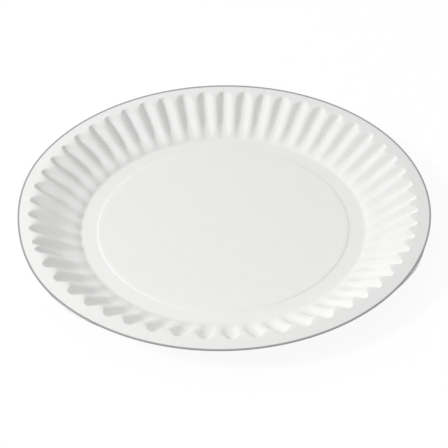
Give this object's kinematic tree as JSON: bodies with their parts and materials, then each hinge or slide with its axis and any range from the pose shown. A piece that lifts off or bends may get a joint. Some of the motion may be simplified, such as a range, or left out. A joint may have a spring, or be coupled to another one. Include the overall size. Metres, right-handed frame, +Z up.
{
  "type": "paper plate",
  "caption": "Round white paper plate pressed from one piece of board, with a flat centre, a fluted sloping wall and a plain lip, to hold a serving of food.",
  "frame": {"origin": "centre of the plate, on the surface it stands on", "axes": "+Z up along the plate's axis; -Y faces the viewer of the picture and +X is to their right"},
  "size_m": [0.23, 0.23, 0.0173],
  "materials": {
    "paperboard": "matte"
  },
  "bodies": {
    "root": {"plate": "paperboard"}
  },
  "joints": []
}
